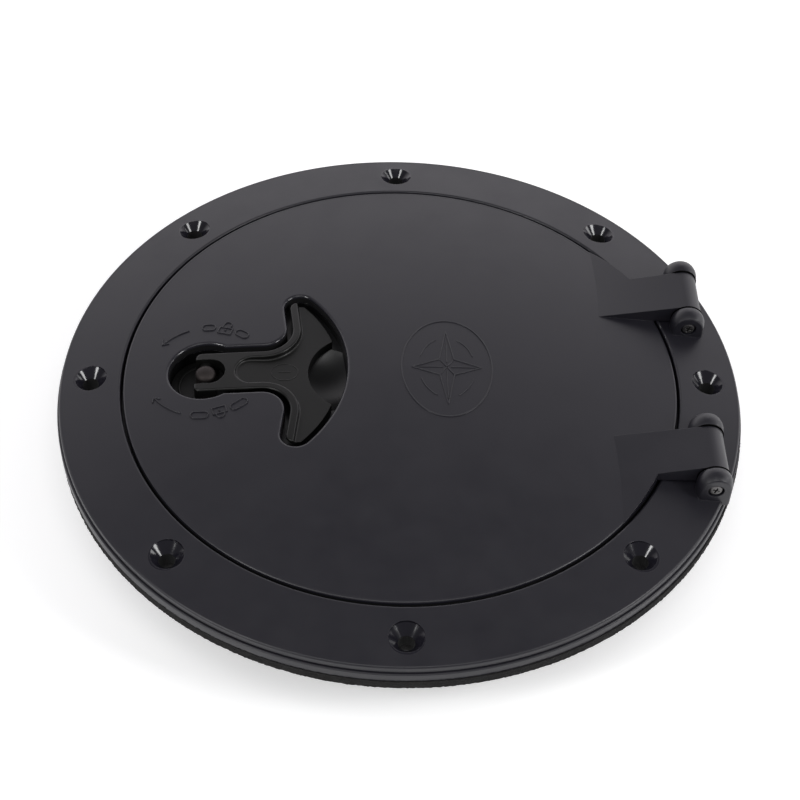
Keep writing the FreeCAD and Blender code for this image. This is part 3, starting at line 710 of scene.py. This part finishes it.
def fine_edges():
    """Smooth mouldings along the long round edges of flange, recess and lid."""
    profile = dome_edge(FLANGE_R - EDGE_ROUND, -EDGE_TAIL, 88, 0)
    profile += [(FLANGE_R + PROUD, GROOVE_TOP), (GROOVE_R, GROOVE_TOP - 0.05 * MM),
                (GROOVE_R, BAND_TOP + PROUD)]
    profile += arc_points(BAND_R - BAND_ROUND, BAND_TOP - BAND_ROUND, BAND_ROUND + PROUD, 90, 0, 5)
    profile += [(BAND_R + PROUD, 0.02 * MM), (BAND_R - BAND_ROUND, 0.03 * MM)]
    turned_piece("flange_edge", profile, 900, ring_finish, "base")
    recess_foot = 4.05 * MM
    profile = dome_edge(RECESS_R + EDGE_ROUND, EDGE_TAIL, 90, 180)
    profile += [(RECESS_R - PROUD, recess_foot)]
    turned_piece("recess_edge", profile, 720, ring_finish, "base")
    lid_foot = 7.0 * MM
    profile = dome_edge(LID_R - EDGE_ROUND, -EDGE_TAIL, 90, 0)
    profile += [(LID_R + PROUD, lid_foot), (LID_R - 0.6 * MM, lid_foot - 0.02 * MM)]
    turned_piece("lid_edge", profile, 720, lid_plastic, "lid")


fine_edges()


# ---- latch -------------------------------------------------------------------------------
def nut_details():
    """Nylon ring of the lock nut and the thread that stands out of it."""
    nut_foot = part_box("bolt_nut")[0].z
    shaft_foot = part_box("latch_spindle")[0].z
    hole_r, ring_r, chamfer = 3.03 * MM, 4.2 * MM, 0.3 * MM
    top, bottom = nut_foot + 0.1 * MM, nut_foot - 0.45 * MM
    profile = [(hole_r, top), (hole_r, bottom), (ring_r - chamfer, bottom),
               (ring_r, bottom + chamfer), (ring_r, top)]
    turned_piece("nut_insert", profile, 64, bearing_plastic, "rotor",
                 (SPINDLE_X, 0.0))
    pitch, steps_per_turn = 0.8 * MM, 48
    root_r, crest_r, half = 2.95 * MM, 3.14 * MM, 0.3 * MM
    start, end = shaft_foot + 0.15 * MM, nut_foot + 0.4 * MM
    turns = (end - start) / pitch
    steps = int(steps_per_turn * turns)
    bm = bmesh.new()
    rows = []
    for i in range(steps + 1):
        a = 2 * math.pi * turns * i / steps
        z = start + (end - start) * i / steps
        c, d = math.cos(a), math.sin(a)
        rows.append([bm.verts.new((SPINDLE_X + r * c, r * d, z + h))
                     for r, h in ((root_r, -half), (crest_r, 0.0), (root_r, half))])
    for near, far in zip(rows, rows[1:]):
        for k in range(2):
            bm.faces.new((near[k], near[k + 1], far[k + 1], far[k]))
    add_piece("spindle_thread", bm, spindle_steel, "rotor")


nut_details()


def well_details():
    """Rounded cap of the spindle and the raised ring on the turntable round it."""
    cap_r, cap_low, cap_rise, cap_skirt = 4.26 * MM, 11.9 * MM, 2.5 * MM, 0.4 * MM
    almost_up, steps = 89.6, 12
    profile = [(cap_r, cap_low - cap_skirt)]
    for i in range(steps + 1):
        a = math.radians(almost_up * i / steps)
        profile.append((cap_r * math.cos(a), cap_low + cap_rise * math.sin(a)))
    turned_piece("spindle_cap", profile, 72, spindle_steel, "rotor",
                 (SPINDLE_X, 0.0))
    ring_r, half_width, height, sink = 11.5 * MM, 0.6 * MM, 0.45 * MM, 0.05 * MM
    profile = [(ring_r + half_width * math.cos(a), TURNTABLE_TOP - sink + height * math.sin(a))
               for a in (math.pi * i / 8 for i in range(9))]
    turned_piece("turntable_ring", profile, 180, handle_plastic, "rotor",
                 (SPINDLE_X, 0.0))


well_details()


# ---- hinges ------------------------------------------------------------------------------
def hinge_washers():
    """Thin washers between knuckles and ears; their near-black, dull finish is painted shade of
    the gaps there.
    """
    bush_low, bush_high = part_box("hinge_bush_rear")
    pin_x, pin_z = (bush_low.x + bush_high.x) / 2, (bush_low.z + bush_high.z) / 2
    hole_r, washer_r, thick, gap = 1.8 * MM, 6.9 * MM, 0.6 * MM, 0.12 * MM
    profile = [(hole_r, 0.0), (washer_r, 0.0), (washer_r, thick), (hole_r, thick)]
    for name in ("front", "rear"):
        low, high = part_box(f"hinge_bush_{name}")
        for end, y, way in (("a", low.y - gap, -1), ("b", high.y + gap, 1)):
            bm = bmesh.new()
            lathe(bm, profile, 72, closed=True)
            tip_over = Matrix.Rotation(math.radians(-90 * way), 4, "X")
            place = Matrix.Translation((pin_x, y, pin_z)) @ tip_over
            bmesh.ops.transform(bm, matrix=place, verts=bm.verts)
            add_piece(f"hinge_washer_{name}_{end}", bm, washer_gap_shade, "base")


hinge_washers()


# ---- stage, light and camera -------------------------------------------------------------
def make_floor():
    """Pale floor that reaches past every view; its slight glow keeps it near white."""
    bm = bmesh.new()
    bmesh.ops.create_grid(bm, x_segments=1, y_segments=1, size=60.0)
    mesh = bpy.data.meshes.new("floor")
    bm.to_mesh(mesh)
    bm.free()
    floor = bpy.data.objects.new("floor", mesh)
    floor.location.z = cad_box[0].z - 0.2 * MM
    mat, _, shader = new_material("floor_white")
    shader.inputs["Base Color"].default_value = (0.92, 0.92, 0.92, 1)
    shader.inputs["Roughness"].default_value = 0.9
    shader.inputs["Specular IOR Level"].default_value = 0.1
    shader.inputs["Emission Color"].default_value = (1, 1, 1, 1)
    shader.inputs["Emission Strength"].default_value = 0.36
    mesh.materials.append(mat)
    bpy.context.scene.collection.objects.link(floor)


def softbox(name, azimuth, elevation, distance, width, height, power):
    """Area light that faces the hatch; azimuth 0 stands at +X, 90 at +Y."""
    data = bpy.data.lights.new(name, "AREA")
    data.shape = "RECTANGLE"
    data.size = width
    data.size_y = height
    data.energy = power
    lamp = bpy.data.objects.new(name, data)
    a, e = math.radians(azimuth), math.radians(elevation)
    way = Vector((math.cos(a) * math.cos(e), math.sin(a) * math.cos(e), math.sin(e)))
    lamp.location = way * distance
    lamp.rotation_euler = (-lamp.location).to_track_quat("-Z", "Y").to_euler()
    bpy.context.scene.collection.objects.link(lamp)


def make_world():
    """Studio surround: a bright low band behind the hatch, dim overhead and in front."""
    world = bpy.data.worlds.new("studio")
    world.use_nodes = True
    tree = world.node_tree
    background = tree.nodes["Background"]
    coords = tree.nodes.new("ShaderNodeTexCoord").outputs["Generated"]
    split = tree.nodes.new("ShaderNodeSeparateXYZ")
    tree.links.new(coords, split.inputs[0])
    low_band = spread(tree, split.outputs[2], 1.0, 0.0, 0.40, 0.86)
    behind = spread(tree, split.outputs[1], 0.0, 1.0, 0.05, 0.60)
    lit = math_node(tree, "MULTIPLY", low_band, behind)
    sky = colour_mix(tree, lit, (0.17, 0.17, 0.175), (1.5, 1.46, 1.52))
    tree.links.new(sky, background.inputs["Color"])
    background.inputs["Strength"].default_value = 1.0
    bpy.context.scene.world = world


CAMERA_AZIMUTH, CAMERA_ELEVATION, CAMERA_ROLL = -2.8124, 47.9992, 2.4545   # degrees
CAMERA_TARGET = (-0.00052, -0.01112, 0.0091)
CAMERA_DISTANCE = 0.75488


def make_camera():
    """The view from the near side, 48 degrees above the deck."""
    azimuth, elevation = math.radians(CAMERA_AZIMUTH), math.radians(CAMERA_ELEVATION)
    roll = math.radians(CAMERA_ROLL)
    back = Vector((math.sin(azimuth) * math.cos(elevation),
                   -math.cos(azimuth) * math.cos(elevation), math.sin(elevation)))
    right = Vector((math.cos(azimuth), math.sin(azimuth), 0))
    up = back.cross(right)
    cam_x = right * math.cos(roll) + up * math.sin(roll)
    cam_y = up * math.cos(roll) - right * math.sin(roll)
    data = bpy.data.cameras.new("camera")
    data.sensor_width = 36.0
    data.lens = 81.6
    data.clip_start = 0.01
    camera = bpy.data.objects.new("camera", data)
    rotation = Matrix((cam_x, cam_y, back)).transposed().to_4x4()
    place = Vector(CAMERA_TARGET) + back * CAMERA_DISTANCE
    camera.matrix_world = Matrix.Translation(place) @ rotation
    bpy.context.scene.collection.objects.link(camera)
    bpy.context.scene.camera = camera


make_floor()
make_world()
# name, azimuth and elevation in degrees, distance, width and height in metres, watts
softbox("key_right", -25, 34, 1.4, 0.35, 0.55, 7.5)
softbox("key_left", 217, 37, 1.4, 0.25, 0.50, 6.0)
softbox("side_right", 9, 18, 1.5, 0.35, 0.35, 1.8)
softbox("overhead", -90, 66, 1.7, 0.9, 0.7, 6.0)
make_camera()
bpy.context.scene.view_settings.view_transform = "Standard"
